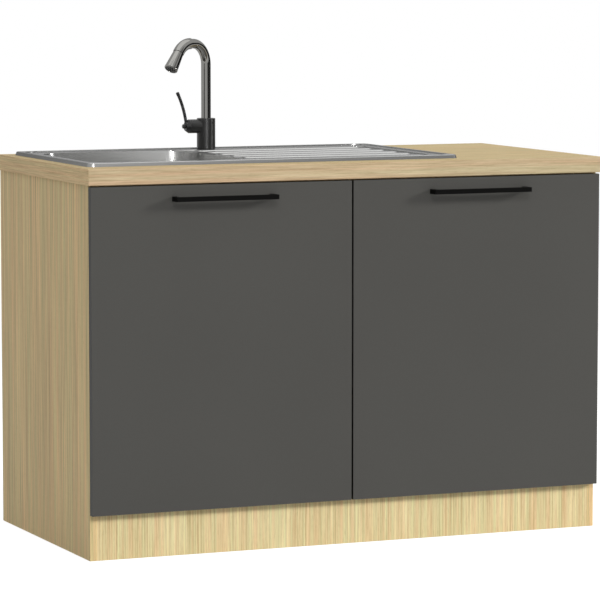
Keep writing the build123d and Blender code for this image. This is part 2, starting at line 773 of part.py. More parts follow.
trap_inlet_nut = slip_nut((*bowl_centre, outlet_z - nut_height / 2), (*bowl_centre, outlet_z + nut_height / 2))
trap_tube = ring(pipe40 - trap_wall, pipe40, *bowl_centre, trap_bottom_z + tube_clearance, outlet_z)
neck_radius = nut_radius - sheet
inner_bottle_radius = trap_bottle_radius - trap_wall
with BuildPart() as trap_bottle:
    turned(*bowl_centre, [
        (pipe40 + seat_clearance, trap_top_z + neck_height),
        (neck_radius, trap_top_z + neck_height),
        (neck_radius, trap_top_z),
        (trap_bottle_radius, trap_top_z),
        (trap_bottle_radius, trap_bottom_z),
        (inner_bottle_radius, trap_bottom_z),
        (inner_bottle_radius, trap_top_z - trap_wall),
        (pipe40 + seat_clearance, trap_top_z - trap_wall),
    ])
    spout_start = (bowl_centre[0], bottle_front_y - 3 * trap_wall, trap_outlet_z)
    spout_end = (bowl_centre[0], bottle_front_y + nut_height, trap_outlet_z)
    peg(pipe40, spout_start, spout_end)
    bore_start = (bowl_centre[0], bottle_front_y - 4 * trap_wall, trap_outlet_z)
    peg(pipe40 - trap_wall, bore_start, spout_end, mode=Mode.SUBTRACT)

cup_inner = trap_bottle_radius + sliding_clearance
cup_outer = cup_inner + cup_wall_thickness
cup_seat_z = trap_bottom_z - sliding_clearance
with BuildPart() as trap_cup:
    turned(*bowl_centre, [
        (0, cup_seat_z - cup_floor),
        (cup_outer, cup_seat_z - cup_floor),
        (cup_outer, trap_bottom_z + cup_skirt),
        (cup_inner, trap_bottom_z + cup_skirt),
        (cup_inner, cup_seat_z),
        (inner_bottle_radius, cup_seat_z),
        (inner_bottle_radius, cup_seat_z - cup_floor + cup_wall_thickness),
        (0, cup_seat_z - cup_floor + cup_wall_thickness),
    ])

trap_outlet_nut = slip_nut(
    (bowl_centre[0], spout_end[1] - nut_height / 2, trap_outlet_z),
    (bowl_centre[0], spout_end[1] + nut_height / 2, trap_outlet_z),
)
with BuildPart() as trap_outlet_pipe:
    pipe_far = (bowl_centre[0], back_y, trap_outlet_z)
    peg(pipe40, spout_end, pipe_far)
    # Collar that stops the wall pipe's socket short of the nut
    collar_y = spout_end[1] + nut_height / 2 + bore_clearance
    collar = [(bowl_centre[0], y, trap_outlet_z) for y in (collar_y, collar_y + trap_wall)]
    peg(pipe40 + trap_wall, *collar)
    peg(pipe40 - trap_wall, spout_end, pipe_far, mode=Mode.SUBTRACT)

# Tap
tap_gasket = ring(shank_radius + seat_clearance, body_radius - gasket_thickness, tap_x, tap_y, deck_z, tap_z)
shank_bottom_z = tap_z - shank_length
foot_z = body_top_z - spout_foot
stub_x = tap_x - stub_length
cartridge_radius = stub_radius - stub_wall
seal_z = body_top_z - seal_drop
groove_bottom = (tap_x, tap_y, seal_z)
groove_top = (tap_x, tap_y, seal_z + seal_height)
groove_radius = pipe_radius + seal_depth
with BuildPart() as tap_body:
    with BuildSketch(Plane.XY.offset(tap_z)):
        with Locations((tap_x, tap_y)):
            Circle(body_radius)
    extrude(amount=body_height)
    chamfer(tap_body.faces().sort_by(Axis.Z)[-1].edges(), sheet)
    peg(stub_radius, (stub_x, tap_y, stub_z), (tap_x, tap_y, stub_z))
    peg(shank_radius, (tap_x, tap_y, shank_bottom_z), (tap_x, tap_y, tap_z))
    # Bore of the spout's foot with its seal groove, bore of the cartridge
    bore_top = (tap_x, tap_y, body_top_z + 1)
    peg(pipe_radius + running_clearance, (tap_x, tap_y, foot_z), bore_top, mode=Mode.SUBTRACT)
    peg(groove_radius, groove_bottom, groove_top, mode=Mode.SUBTRACT)
    cartridge_end = (stub_x + cartridge_depth, tap_y, stub_z)
    peg(cartridge_radius, (stub_x - 1, tap_y, stub_z), cartridge_end, mode=Mode.SUBTRACT)
    # Two supply inlets and the passage to the spray head, in the shank's end
    with BuildSketch(Plane.XY.offset(shank_bottom_z)):
        with Locations((tap_x, tap_y)):
            with PolarLocations(inlet_circle, 2, start_angle=inlet_start, angular_range=240):
                Circle(inlet_radius)
    extrude(amount=inlet_depth, mode=Mode.SUBTRACT)
    passage = (tap_x, tap_y + inlet_circle, shank_bottom_z - 1)
    peg(inlet_radius, passage, (tap_x, tap_y + inlet_circle, foot_z + 1), mode=Mode.SUBTRACT)

washer_z = under_z - washer_thickness
washer_radius = tap_hole_radius + 2 * washer_thickness
tap_washer = ring(shank_radius + seat_clearance, washer_radius, tap_x, tap_y, washer_z, under_z)
with BuildPart() as tap_nut:
    with BuildSketch(Plane.XY.offset(washer_z - tap_nut_height)):
        with Locations((tap_x, tap_y)):
            RegularPolygon(washer_radius - sheet, 6)
            Circle(shank_radius + running_clearance, mode=Mode.SUBTRACT)
    extrude(amount=tap_nut_height)

hub_start_x = stub_x - seat_clearance
with BuildPart() as tap_cartridge:
    cartridge_face = (stub_x + sheet, tap_y, stub_z)
    peg(cartridge_radius - sliding_clearance, cartridge_end, cartridge_face)
    stem_tip = (hub_start_x - stem_length, tap_y, stub_z)
    peg(stem_radius, cartridge_face, stem_tip)

seal_bore = pipe_radius + running_clearance
spout_seal = ring(seal_bore, groove_radius, tap_x, tap_y, seal_z, seal_z + seal_height)

# Spout plane: x runs outwards from the tap, y upwards
out_x, out_y = -sin(radians(spout_turn)), -cos(radians(spout_turn))
spout_plane = Plane(origin=(tap_x, tap_y, deck_z), x_dir=(out_x, out_y, 0), z_dir=(out_y, -out_x, 0))
bend_z = arch_height - pipe_bend
joint_r = pipe_bend + pipe_lead
with BuildPart() as spout:
    with BuildLine(spout_plane) as spout_path:
        rise = Line((0, foot_z - deck_z), (0, bend_z))
        bend = RadiusArc(rise @ 1, (pipe_bend, arch_height), pipe_bend)
        Line(bend @ 1, (joint_r, arch_height))
    with BuildSketch(Plane(origin=(tap_x, tap_y, foot_z), z_dir=(0, 0, 1))):
        Circle(pipe_radius)
        Circle(pipe_radius - pipe_wall, mode=Mode.SUBTRACT)
    sweep(path=spout_path.wires()[0])

# Spray head: curved grip with a spigot inside the spout's end, then a flared nozzle
grip_x = joint_r + seat_clearance
turn = radians(head_turn)
seam_x = grip_x + head_bend * sin(turn)
seam_y = arch_height - head_bend * (1 - cos(turn))
corner_x = grip_x + head_bend * tan(turn / 2)
spigot_radius = pipe_radius - pipe_wall - sliding_clearance


def spout_point(x, y):
    """Point of the spout's plane by its distance out and its height over the deck."""
    return Vector(spout_plane.from_local_coords((x, y, 0)))


with BuildPart() as spray_head:
    with BuildLine(spout_plane) as grip_path:
        RadiusArc((grip_x, arch_height), (seam_x, seam_y), head_bend)
    grip_origin = spout_point(grip_x, arch_height)
    with BuildSketch(Plane(origin=grip_origin, x_dir=(0, 0, 1), z_dir=spout_plane.x_dir)):
        Circle(head_radius)
    sweep(path=grip_path.wires()[0])
    spigot_tip = spout_point(joint_r - pipe_lead, arch_height)
    peg(spigot_radius, spigot_tip, grip_origin)
    # Bored straight from both ends to where the two bores meet
    bore_corner = spout_point(corner_x, arch_height)
    peg(head_bore, spigot_tip, bore_corner, mode=Mode.SUBTRACT)
    peg(head_bore, spout_point(seam_x, seam_y), bore_corner, mode=Mode.SUBTRACT)

seam_point = spout_point(seam_x, seam_y)
nozzle_dir = spout_point(cos(turn), -sin(turn)) - spout_point(0, 0)
nozzle_side = spout_point(sin(turn), cos(turn)) - spout_point(0, 0)
aerator_seat = nozzle_length - aerator_thickness - sheet
aerator_bore = aerator_radius + bore_clearance
with BuildPart() as spray_nozzle:
    with BuildSketch(Plane(origin=seam_point, x_dir=nozzle_side, z_dir=-spout_plane.z_dir)):
        with BuildLine():
            Polyline(
                (head_bore, 0),
                (head_radius - sheet, 0),
                (nozzle_end_radius, nozzle_length - sheet),
                (nozzle_end_radius - sheet, nozzle_length),
                (aerator_bore, nozzle_length),
                (aerator_bore, aerator_seat),
                (head_bore, aerator_seat),
                close=True,
            )
        make_face()
    revolve(axis=Axis(seam_point, nozzle_dir))

aerator_plane = Plane(origin=seam_point + nozzle_dir * aerator_seat, x_dir=nozzle_side, z_dir=nozzle_dir)
with BuildPart() as aerator:
    with BuildSketch(aerator_plane):
        Circle(aerator_radius)
        with HexLocations(cell_radius + cell_wall / 2, 3, 3):
            RegularPolygon(cell_radius, 6, mode=Mode.SUBTRACT)
    extrude(amount=aerator_thickness)

# Lever: a hub that turns on the cartridge's stem, with a slot for the lever's pivot
hub_radius = stub_radius - bore_clearance
hub_end_x = hub_start_x - hub_length
pivot_x = hub_end_x + pivot_inset
pivot_z = stub_z + pivot_rise
eye_radius = lever_radius + sliding_clearance
slot_half = lever_radius + seat_clearance
with BuildPart() as lever_hub:
    with BuildSketch(Plane(origin=(0, tap_y, stub_z), x_dir=(1, 0, 0), z_dir=(0, -1, 0))):
        with BuildLine():
            Polyline(
                (hub_start_x, 0),
                (hub_start_x, hub_radius),
                (hub_start_x - hub_barrel, hub_radius),
                (hub_end_x, hub_end_radius),
                (hub_end_x, nub_radius),
                (hub_end_x - nub_length + sheet, nub_radius),
                (hub_end_x - nub_length, nub_radius - sheet),
                (hub_end_x - nub_length, 0),
                close=True,
            )
        make_face()
    revolve(axis=Axis((0, tap_y, stub_z), (1, 0, 0)))
    stem_hole_end = (stem_tip[0] - seat_clearance, tap_y, stub_z)
    hub_mouth = (hub_start_x, tap_y, stub_z)
    peg(stem_radius + running_clearance, hub_mouth, stem_hole_end, mode=Mode.SUBTRACT)
    slot_reach = eye_radius + 2 * seat_clearance
    span_box(
        pivot_x - slot_reach, pivot_x + slot_reach, tap_y - slot_half, tap_y + slot_half,
        pivot_z - eye_radius - seat_clearance, pivot_z + stub_radius, mode=Mode.SUBTRACT,
    )
    pin_hole = pin_radius + running_clearance
    pin_ends = ((pivot_x, tap_y - pin_half, pivot_z), (pivot_x, tap_y + pin_half, pivot_z))
    peg(pin_hole, *pin_ends, mode=Mode.SUBTRACT)

with BuildPart() as lever_pin:
    peg(pin_radius, *pin_ends)

lever_plane = Plane(origin=(pivot_x, tap_y, pivot_z), x_dir=(-1, 0, 0), z_dir=(0, 1, 0))
with BuildPart() as lever:
    lean = radians(lever_lean)
    shank_rise = 3 * lever_radius
    lever_start = lever_plane.from_local_coords((0, 0, 0))
    start_dir = lever_plane.from_local_coords((sin(lean), cos(lean), 0)) - lever_start
    with BuildLine(lever_plane) as lever_path:
        shank = Line((0, 0), (shank_rise * sin(lean), shank_rise * cos(lean)))
        rod = JernArc(shank @ 1, shank % 1, lever_curl, -degrees((lever_length - shank_rise) / lever_curl))
    with BuildSketch(Plane(origin=lever_start, z_dir=start_dir)):
        Circle(lever_radius)
    sweep(path=lever_path.wires()[0])
    with BuildSketch(Plane(origin=rod @ 1, z_dir=rod % 1)):
        Circle(lever_tip_radius)
    extrude(amount=-2 * lever_tip_radius)
    chamfer(lever.faces().sort_by(Axis.Z)[-1].edges(), lever_tip_radius / 4)
    eye_half = lever_radius - sheet / 2
    peg(eye_radius, (pivot_x, tap_y - eye_half, pivot_z), (pivot_x, tap_y + eye_half, pivot_z))
    peg(pin_hole, *pin_ends, mode=Mode.SUBTRACT)

pieces = {
    "side_panel_left": side_panel_left,
    "side_panel_right": side_panel_right,
    "bottom_panel": bottom_panel,
    "plinth_board": plinth_board,
    "front_rail": front_rail,
    "rear_rail": rear_rail,
    "back_panel": back_panel,
    "worktop": worktop,
    "worktop_brackets": worktop_brackets,
    "joint_blocks": joint_blocks,
    "door_left": door_left,
    "door_right": door_right,
    "handle_left": handle_left,
    "handle_right": handle_right,
    "handle_screws_left": handle_screws_left,
    "handle_screws_right": handle_screws_right,
    "door_bumpers_left": door_bumpers_left,
    "door_bumpers_right": door_bumpers_right,
    "hinge_cups_left": hinge_cups_left,
    "hinge_cups_right": hinge_cups_right,
    "hinge_arms": hinge_arms,
    "hinge_plates": hinge_plates,
    "sink": sink,
    "sink_seal": sink_seal,
    "sink_clamps": sink_clamps,
    "waste_flange": waste_flange,
    "strainer_basket": strainer_basket,
    "waste_gasket": waste_gasket,
    "waste_body": waste_body,
    "waste_bolt": waste_bolt,
    "overflow_rosette": overflow_rosette,
    "overflow_elbow": overflow_elbow,
    "overflow_pipe": overflow_pipe,
    "trap_inlet_nut": trap_inlet_nut,
    "trap_tube": trap_tube,
    "trap_bottle": trap_bottle,
    "trap_cup": trap_cup,
    "trap_outlet_nut": trap_outlet_nut,
    "trap_outlet_pipe": trap_outlet_pipe,
    "tap_body": tap_body,
    "tap_gasket": tap_gasket,
    "tap_washer": tap_washer,
    "tap_nut": tap_nut,
    "tap_cartridge": tap_cartridge,
    "spout": spout,
    "spout_seal": spout_seal,
    "spray_head": spray_head,
    "spray_nozzle": spray_nozzle,
    "aerator": aerator,
    "lever_hub": lever_hub,
    "lever_pin": lever_pin,
    "lever": lever,
}
for name, piece in pieces.items():
    piece.part.label = name
    export_step(piece.part, f"parts/{name}.step")
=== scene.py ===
import bpy
import bmesh
import json
import math
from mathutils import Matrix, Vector


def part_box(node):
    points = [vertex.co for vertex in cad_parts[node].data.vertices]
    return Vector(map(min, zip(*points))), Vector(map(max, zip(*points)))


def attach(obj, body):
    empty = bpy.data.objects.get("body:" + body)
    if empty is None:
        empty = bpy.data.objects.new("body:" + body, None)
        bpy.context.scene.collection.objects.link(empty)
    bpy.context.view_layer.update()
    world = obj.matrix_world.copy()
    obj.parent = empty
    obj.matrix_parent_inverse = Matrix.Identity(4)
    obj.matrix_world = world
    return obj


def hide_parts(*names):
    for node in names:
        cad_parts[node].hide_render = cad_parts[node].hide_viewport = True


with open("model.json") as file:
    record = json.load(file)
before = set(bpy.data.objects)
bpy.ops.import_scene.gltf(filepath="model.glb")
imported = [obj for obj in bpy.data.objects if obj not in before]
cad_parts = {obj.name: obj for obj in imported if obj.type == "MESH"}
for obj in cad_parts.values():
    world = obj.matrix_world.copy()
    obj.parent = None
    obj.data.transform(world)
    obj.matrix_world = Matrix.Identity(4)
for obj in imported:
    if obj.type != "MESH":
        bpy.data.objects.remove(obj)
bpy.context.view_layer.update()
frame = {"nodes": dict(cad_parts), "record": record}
nodes = frame["nodes"]
slotOf = {part["node"]: part["material_slot"] for part in frame["record"]["subparts"]}
bodyOf = {node: body for body, group in frame["record"]["behaviour"]["bodies"].items() for node in group}


# Camera and studio
cameraSetup = {
    "place": (-3.037, -7.161, 1.274),
    "turn": 22.970,
    "tilt": 5.638,
    "lens": 210.4,
    "sensor": 36.0,
    "farthest": 200.0,
}


def setCamera():
    data = bpy.data.cameras.new("camera")
    data.lens = cameraSetup["lens"]
    data.sensor_width = cameraSetup["sensor"]
    data.clip_end = cameraSetup["farthest"]
    camera = bpy.data.objects.new("camera", data)
    camera.location = cameraSetup["place"]
    camera.rotation_euler = (math.radians(90 - cameraSetup["tilt"]), 0, -math.radians(cameraSetup["turn"]))
    bpy.context.collection.objects.link(camera)
    bpy.context.scene.camera = camera


def addNode(tree, kind, inputs=None, **settings):
    made = tree.nodes.new(kind)
    for key, value in settings.items():
        setattr(made, key, value)
    for key, value in (inputs or {}).items():
        if isinstance(value, bpy.types.NodeSocket):
            tree.links.new(value, made.inputs[key])
        else:
            made.inputs[key].default_value = value
    return made


def newFinish(name):
    material = bpy.data.materials.new(name)
    material.use_nodes = True
    tree = material.node_tree
    return material, tree, tree.nodes["Principled BSDF"]


def mathNode(tree, operation, first, second=0.0):
    return addNode(tree, "ShaderNodeMath", {0: first, 1: second}, operation=operation).outputs[0]


studio = {
    "ambient": 0.30,
    "floorSize": 60.0,
    "floorDrop": 0.0005,
    "floorFade": (2.0, 4.5),
    "floorPaper": 0.60,
    "floorWhite": 0.74,
    "aim": (0.0, 0.0, 0.5),
    "lamps": {
        # Not mirrored, because it would leave a white streak on the spray head
        "sideLamp": {
            "place": (12.7, -6.5, 5.4), "size": 3.0, "power": 1500, "lights": True, "mirrored": False,
        },
        "frontLamp": {
            "place": (-3.0, -12.0, 8.9), "size": 3.0, "power": 440, "lights": True, "mirrored": True,
        },
        "fillLamp": {
            "place": (-8.2, -10.7, 7.1), "size": 6.0, "power": 130, "lights": True, "mirrored": True,
        },
        "topLamp": {
            "place": (0.6, 0.6, 10.0), "size": 11.0, "power": 330, "lights": True, "mirrored": True,
        },
        # These give only the light streaks on the tap's body and in the bowl's corner
        "frontStreak": {
            "place": (-1.77, -7.08, 1.35), "size": 0.5, "power": 105, "lights": False, "mirrored": True,
        },
        "sideStreak": {
            "place": (6.2, -3.75, 1.35), "size": 0.45, "power": 68, "lights": False, "mirrored": True,
        },
    },
    # Dark cards that only the glossy surfaces show, from a low and a high shade
    "flags": {
        "rightFlag": {
            "place": (4.8, -6.4), "wide": 6.2, "tall": 7.0,
            "low": 0.02, "high": 0.52, "fade": (1.5, 5.5),
        },
        "leftFlag": {
            "place": (-7.1, -3.8), "wide": 2.6, "tall": 3.0,
            "low": 0.03, "high": 0.3, "fade": (1.5, 3.0),
        },
        "sideFlag": {
            "place": (7.6, 0.2), "wide": 8.6, "tall": 3.0,
            "low": 0.02, "high": 0.3, "fade": (1.5, 3.0),
        },
    },
}


def lookRays(tree):
    rays = addNode(tree, "ShaderNodeLightPath").outputs
    direct = mathNode(tree, "MAXIMUM", rays["Is Camera Ray"], rays["Is Glossy Ray"])
    return mathNode(tree, "MAXIMUM", direct, rays["Is Transmission Ray"])


def setWorld():
    world = bpy.data.worlds.new("studioWorld")
    bpy.context.scene.world = world
    world.use_nodes = True
    tree = world.node_tree
    tree.nodes.clear()
    soft = addNode(tree, "ShaderNodeBackground", {"Color": (1, 1, 1, 1), "Strength": studio["ambient"]})
    white = addNode(tree, "ShaderNodeBackground", {"Color": (1, 1, 1, 1), "Strength": 1.0})
    mix = addNode(tree, "ShaderNodeMixShader", {0: lookRays(tree), 1: soft.outputs[0], 2: white.outputs[0]})
    addNode(tree, "ShaderNodeOutputWorld", {"Surface": mix.outputs[0]})


def setLamps():
    for name, lamp in studio["lamps"].items():
        data = bpy.data.lights.new(name, "AREA")
        data.size = lamp["size"]
        data.energy = lamp["power"]
        made = bpy.data.objects.new(name, data)
        made.location = lamp["place"]
        away = Vector(lamp["place"]) - Vector(studio["aim"])
        made.rotation_euler = away.to_track_quat("Z", "Y").to_euler()
        made.visible_camera = False
        made.visible_diffuse = lamp["lights"]
        made.visible_glossy = lamp["mirrored"]
        bpy.context.collection.objects.link(made)


def setFloor():
    half = studio["floorSize"] / 2
    corners = [(-half, -half, 0), (half, -half, 0), (half, half, 0), (-half, half, 0)]
    mesh = bpy.data.meshes.new("floor")
    mesh.from_pydata(corners, [], [(0, 1, 2, 3)])
    floor = bpy.data.objects.new("floor", mesh)
    bpy.context.collection.objects.link(floor)
    floor.location = (0, 0, -studio["floorDrop"])
    material = bpy.data.materials.new("floorPaper")
    material.use_nodes = True
    tree = material.node_tree
    tree.nodes.clear()
    coords = addNode(tree, "ShaderNodeTexCoord").outputs["Object"]
    distance = addNode(tree, "ShaderNodeVectorMath", {0: coords}, operation="LENGTH").outputs["Value"]
    fadeStart, fadeEnd = studio["floorFade"]
    fade = addNode(tree, "ShaderNodeMapRange", {
        "Value": distance, "From Min": fadeStart, "From Max": fadeEnd,
    })
    look = lookRays(tree)
    tone = studio["floorPaper"]
    paper = addNode(tree, "ShaderNodeBsdfDiffuse", {"Color": (tone, tone, tone, 1)})
    glow = addNode(tree, "ShaderNodeEmission", {"Color": (1, 1, 1, 1), "Strength": studio["floorWhite"]})
    both = addNode(tree, "ShaderNodeAddShader", {0: paper.outputs[0], 1: glow.outputs[0]})
    near = addNode(tree, "ShaderNodeMixShader", {0: look, 1: paper.outputs[0], 2: both.outputs[0]})
    white = addNode(tree, "ShaderNodeEmission", {"Color": (1, 1, 1, 1), "Strength": 1.0})
    faded = mathNode(tree, "MULTIPLY", fade.outputs[0], look)
    last = addNode(tree, "ShaderNodeMixShader", {0: faded, 1: near.outputs[0], 2: white.outputs[0]})
    addNode(tree, "ShaderNodeOutputMaterial", {"Surface": last.outputs[0]})
    mesh.materials.append(material)


def setFlags():
    for name, flag in studio["flags"].items():
        half, tall = flag["wide"] / 2, flag["tall"]
        mesh = bpy.data.meshes.new(name)
        mesh.from_pydata([(-half, 0, 0), (half, 0, 0), (half, 0, tall), (-half, 0, tall)], [], [(0, 1, 2, 3)])
        card = bpy.data.objects.new(name, mesh)
        card.location = (*flag["place"], 0)
        card.rotation_euler = (0, 0, math.atan2(flag["place"][1], flag["place"][0]) + math.pi / 2)
        material = bpy.data.materials.new(name + "Card")
        material.use_nodes = True
        tree = material.node_tree
        tree.nodes.clear()
        coords = addNode(tree, "ShaderNodeTexCoord").outputs["Object"]
        height = addNode(tree, "ShaderNodeSeparateXYZ", {0: coords})
        low, high = flag["fade"]
        shade = addNode(tree, "ShaderNodeMapRange", {
            "Value": height.outputs["Z"], "From Min": low, "From Max": high,
            "To Min": flag["low"], "To Max": flag["high"],
        })
        glow = addNode(tree, "ShaderNodeEmission", {"Color": (1, 1, 1, 1), "Strength": shade.outputs[0]})
        addNode(tree, "ShaderNodeOutputMaterial", {"Surface": glow.outputs[0]})
        mesh.materials.append(material)
        for ray in ("camera", "diffuse", "shadow", "transmission", "volume_scatter"):
            setattr(card, "visible_" + ray, False)
        bpy.context.collection.objects.link(card)


setCamera()
setWorld()
setLamps()
setFloor()
setFlags()
bpy.context.scene.view_settings.view_transform = "Standard"
print("studio ready")


# Finishes
def stretchedNoise(tree, coords, stretch, scale, detail=2.0, roughness=0.5):
    squeezed = addNode(tree, "ShaderNodeVectorMath", {0: coords, 1: stretch}, operation="MULTIPLY")
    return addNode(tree, "ShaderNodeTexNoise", {
        "Vector": squeezed.outputs[0], "Scale": scale, "Detail": detail, "Roughness": roughness,
    }).outputs[0]


def rampBetween(tree, factor, places, colours):
    ramp = addNode(tree, "ShaderNodeValToRGB", {"Fac": factor})
    points = ramp.color_ramp.elements
    while len(points) < len(places):
        points.new(0.5)
    for point, place, colour in zip(points, places, colours):
        point.position = place
        point.color = (*colour, 1)
    return ramp.outputs[0]


def addBump(tree, shader, height, strength, distance):
    bump = addNode(tree, "ShaderNodeBump", {"Height": height, "Strength": strength, "Distance": distance})
    tree.links.new(bump.outputs[0], shader.inputs["Normal"])


# Two board colours, tints that paint light and shade onto the faces (each facing made lighter or darker by
# how light falls on it), and the scale and squeeze along the grain of the streaks
laminates = {
    "oak_board": {
        "pale": (0.96, 0.755, 0.405), "deep": (0.51, 0.40, 0.215), "along": 2, "turnedEnds": False,
        "front": (1.1, 1.08, 1.04), "sides": (1.0, 1.0, 1.0), "top": (1.0, 1.0, 1.0),
        "grains": (230.0, 0.008),
    },
    "worktop_laminate": {
        "pale": (0.69, 0.545, 0.34), "deep": (0.47, 0.35, 0.20), "along": 0, "turnedEnds": True,
        "front": (1.03, 1.04, 1.07), "sides": (1.31, 1.27, 1.17), "top": (0.89, 0.89, 0.72),
        "grains": (330.0, 0.024),
    },
    "plinth_laminate": {
        "pale": (1.0, 0.90, 0.53), "deep": (0.65, 0.475, 0.235), "along": 2, "turnedEnds": False,
        "front": (1.0, 1.0, 1.0), "sides": (1.0, 1.0, 1.0), "top": (1.0, 1.0, 1.0),
        "grains": (260.0, 0.012),
    },
}
# Each layer has its scale, its squeeze along the grain, its detail and its roughness
grain = {
    "streakNoise": (3.0, 0.65),
    "layers": {
        "bands": (42.0, 0.03, 2.0, 0.5), "fibres": (620.0, 0.018, 2.0, 0.6),
        "hues": (75.0, 0.014, 3.0, 0.6), "pores": (1500.0, 0.04, 1.0, 0.5),
    },
    "shares": {"streaks": 0.62, "fibres": 0.2, "bands": 0.18},
    "toneSpan": (0.38, 0.62), "hueSpan": (0.36, 0.64), "poreSpan": (0.30, 0.42),
    "rosy": (1.07, 0.975, 0.97), "olive": (0.955, 1.015, 0.99), "poreTint": (0.82, 0.80, 0.76),
    "poreShare": 0.8, "faceLimit": 0.7, "roughness": 0.55, "specular": 0.12,
    "bump": 0.25, "bumpDepth": 0.0004,
}


def stretchFor(along, length):
    return tuple(length if axis == along else 1.0 for axis in range(3))


def blendColours(tree, factor, first, second, mode="MIX"):
    mixed = addNode(tree, "ShaderNodeMix", data_type="RGBA", blend_type=mode)
    for socket, value in ((0, factor), (6, first), (7, second)):
        if isinstance(value, bpy.types.NodeSocket):
            tree.links.new(value, mixed.inputs[socket])
        else:
            mixed.inputs[socket].default_value = value if socket == 0 else (*value, 1)
    return mixed.outputs[2]


def faceMask(tree, normal, axis, limit):
    return mathNode(tree, "GREATER_THAN", mathNode(tree, "ABSOLUTE", normal[axis]), limit)


def woodLaminate(name, look):
    material, tree, shader = newFinish(name)
    place = addNode(tree, "ShaderNodeTexCoord")
    coords = place.outputs["Object"]
    normal = addNode(tree, "ShaderNodeSeparateXYZ", {0: place.outputs["Normal"]}).outputs
    onSide, onFront, onTop = (faceMask(tree, normal, axis, grain["faceLimit"]) for axis in "XYZ")
    if look["turnedEnds"]:
        # The band on an end has its grain along the end's long side
        parts = addNode(tree, "ShaderNodeSeparateXYZ", {0: coords}).outputs
        turned = addNode(tree, "ShaderNodeCombineXYZ", {"X": parts["Y"], "Y": parts["X"], "Z": parts["Z"]})
        mix = addNode(tree, "ShaderNodeMix", data_type="VECTOR")
        tree.links.new(onSide, mix.inputs[0])
        tree.links.new(coords, mix.inputs[4])
        tree.links.new(turned.outputs[0], mix.inputs[5])
        coords = mix.outputs[1]
    layers = {"streaks": (*look["grains"], *grain["streakNoise"]), **grain["layers"]}
    noise = {
        layer: stretchedNoise(tree, coords, stretchFor(look["along"], squeeze), scale, detail, roughness)
        for layer, (scale, squeeze, detail, roughness) in layers.items()
    }
    streaks, fibres, bands = (
        mathNode(tree, "MULTIPLY", noise[layer], share) for layer, share in grain["shares"].items()
    )
    tone = mathNode(tree, "ADD", mathNode(tree, "ADD", streaks, fibres), bands)
    colour = rampBetween(tree, tone, grain["toneSpan"], (look["deep"], look["pale"]))
    hueTone = rampBetween(tree, noise["hues"], grain["hueSpan"], (grain["olive"], grain["rosy"]))
    poreDark = rampBetween(tree, noise["pores"], grain["poreSpan"], (grain["poreTint"], (1, 1, 1)))
    colour = blendColours(tree, 1.0, colour, hueTone, "MULTIPLY")
    colour = blendColours(tree, grain["poreShare"], colour, poreDark, "MULTIPLY")
    # Painted light and shade: fronts, ends (the sides tint) and tops are each made lighter or darker by their
    # tint
    for onFace, faceShade in ((onSide, look["sides"]), (onFront, look["front"]), (onTop, look["top"])):
        shadedColour = blendColours(tree, 1.0, colour, faceShade, "MULTIPLY")
        colour = blendColours(tree, onFace, colour, shadedColour)
    tree.links.new(colour, shader.inputs["Base Color"])
    shader.inputs["Roughness"].default_value = grain["roughness"]
    shader.inputs["Specular IOR Level"].default_value = grain["specular"]
    addBump(tree, shader, noise["fibres"], grain["bump"], grain["bumpDepth"])
    return material


def graphiteMelamine(name, look):
    material, tree, shader = newFinish(name)
    place = addNode(tree, "ShaderNodeTexCoord")
    peel, cloud = (
        stretchedNoise(tree, place.outputs["Object"], (1, 1, 1), *look[layer])
        for layer in ("peel", "cloud")
    )
    halves = [mathNode(tree, "MULTIPLY", layer, look["share"]) for layer in (peel, cloud)]
    tone = mathNode(tree, "ADD", *halves)
    face = rampBetween(tree, tone, look["span"], (look["deep"], look["pale"]))
    normal = addNode(tree, "ShaderNodeSeparateXYZ", {0: place.outputs["Normal"]}).outputs
    # The door's edges get the edge colour, which is painted shade: near black where they face away from the
    # light
    onFace = faceMask(tree, normal, "Y", look["faceLimit"])
    tree.links.new(blendColours(tree, onFace, look["edge"], face), shader.inputs["Base Color"])
    shader.inputs["Roughness"].default_value = look["roughness"]
    shader.inputs["Specular IOR Level"].default_value = look["specular"]
    addBump(tree, shader, peel, look["bump"], look["bumpDepth"])
    return material


def mottled(name, coat):
    look = {**coatDefaults, **coat}
    material, tree, shader = newFinish(name)
    place = addNode(tree, "ShaderNodeTexCoord")
    speckle = stretchedNoise(tree, place.outputs["Object"], look["stretch"], look["grain"])
    tones = [tuple(min(1.0, channel * share) for channel in look["colour"]) for share in look["spread"]]
    base = rampBetween(tree, speckle, look["span"], tones)
    if "slopeShade" in look:
        # Painted shade by facing, standing in for darker reflections: upright walls keep their tone, sloping
        # faces are painted darkest, and level sheet lies between
        upward = addNode(tree, "ShaderNodeSeparateXYZ", {0: place.outputs["Normal"]}).outputs["Z"]
        slopeShade, shares = zip(*look["slopeShade"])
        shade = rampBetween(tree, upward, slopeShade, [(share, share, share) for share in shares])
        base = blendColours(tree, 1.0, base, shade, "MULTIPLY")
    tree.links.new(base, shader.inputs["Base Color"])
    shader.inputs["Metallic"].default_value = look["metallic"]
    shader.inputs["Roughness"].default_value = look["roughness"]
    shader.inputs["Specular IOR Level"].default_value = look["specular"]
    if "edgeTint" in look:
        shader.inputs["Specular Tint"].default_value = (*look["edgeTint"], 1)
    addBump(tree, shader, speckle, look["bump"], look["bumpDepth"])
    return material


